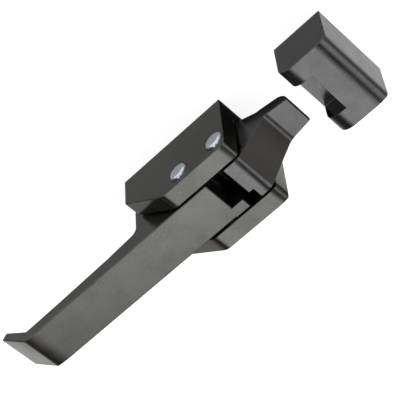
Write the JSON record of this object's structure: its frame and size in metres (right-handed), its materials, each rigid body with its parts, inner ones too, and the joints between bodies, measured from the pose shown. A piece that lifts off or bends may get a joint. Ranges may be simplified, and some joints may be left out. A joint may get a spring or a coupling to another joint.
{
  "type": "lever slam latch with keeper",
  "caption": "Lever-operated door latch: long pull lever between side cheeks draws back a sloping spring bolt; separate slotted keeper block catches it.",
  "frame": {"origin": "centre of the part's footprint on the mounting plane, below housing, lever and keeper together", "axes": "+X from the lever's tip towards the keeper, +Y towards the side with the pin heads, +Z out of the mounting plane towards the user"},
  "size_m": [0.189, 0.0374, 0.0335],
  "materials": {
    "housing": "satin dark grey powder coat on die-cast zinc",
    "lever_handle": "satin dark grey powder coat on die-cast zinc",
    "latch_bolt": "satin dark grey powder coat on die-cast zinc",
    "keeper": "satin dark grey powder coat on die-cast zinc",
    "lever_pivot_pin": "bright zinc plate",
    "bolt_guide_pin": "bright zinc plate",
    "drive_pin": "bright zinc plate",
    "spring_guide_rod": "bright zinc plate",
    "back_plate_screw": "bright zinc plate",
    "keeper_wear_strip": "bright zinc plate",
    "pin_retaining_ring": "plain steel",
    "drive_roller": "plain steel",
    "bolt_spring": "plain steel",
    "back_plate": "plain steel",
    "mount_insert": "plain steel",
    "keeper_insert": "plain steel",
    "lever_bush": "moulded",
    "lever_stop_pad": "matte"
  },
  "bodies": {
    "housing": {"housing": "housing", "lever_pivot_pin": "lever_pivot_pin", "bolt_guide_pin": "bolt_guide_pin", "pin_retaining_ring_1": "pin_retaining_ring", "pin_retaining_ring_2": "pin_retaining_ring", "bolt_spring_1": "bolt_spring", "bolt_spring_2": "bolt_spring", "spring_guide_rod_1": "spring_guide_rod", "spring_guide_rod_2": "spring_guide_rod", "back_plate": "back_plate", "back_plate_screw_1": "back_plate_screw", "back_plate_screw_2": "back_plate_screw", "mount_insert_1": "mount_insert", "mount_insert_2": "mount_insert", "mount_insert_3": "mount_insert", "mount_insert_4": "mount_insert", "lever_stop_pad": "lever_stop_pad"},
    "lever": {"lever_handle": "lever_handle", "lever_bush_1": "lever_bush", "lever_bush_2": "lever_bush", "drive_roller": "drive_roller", "drive_pin": "drive_pin"},
    "bolt": {"latch_bolt": "latch_bolt"},
    "keeper": {"keeper": "keeper", "keeper_insert_1": "keeper_insert", "keeper_insert_2": "keeper_insert", "keeper_wear_strip": "keeper_wear_strip"}
  },
  "joints": [
    {"name": "lever_swing", "type": "hinge", "parent": "housing", "child": "lever", "pos_m": [0.01791, -0.00065, 0.0267], "axis": [0, 1, 0], "range_deg": [0, 22]},
    {"name": "bolt_slide", "type": "slide", "parent": "housing", "child": "bolt", "axis": [1, 0, 0], "range_m": [-0.00372, 0], "stiffness_N_per_m": 600, "springref_m": 0.006, "deforming": ["bolt_spring_1", "bolt_spring_2"]},
    {"name": "keeper_slide", "type": "slide", "parent": "housing", "child": "keeper", "axis": [1, 0, 0], "range_m": [-0.0181, 0]}
  ],
  "couplings": [
    {"joint": "bolt_slide", "follows": "lever_swing", "m_per_rad": -0.009636}
  ]
}
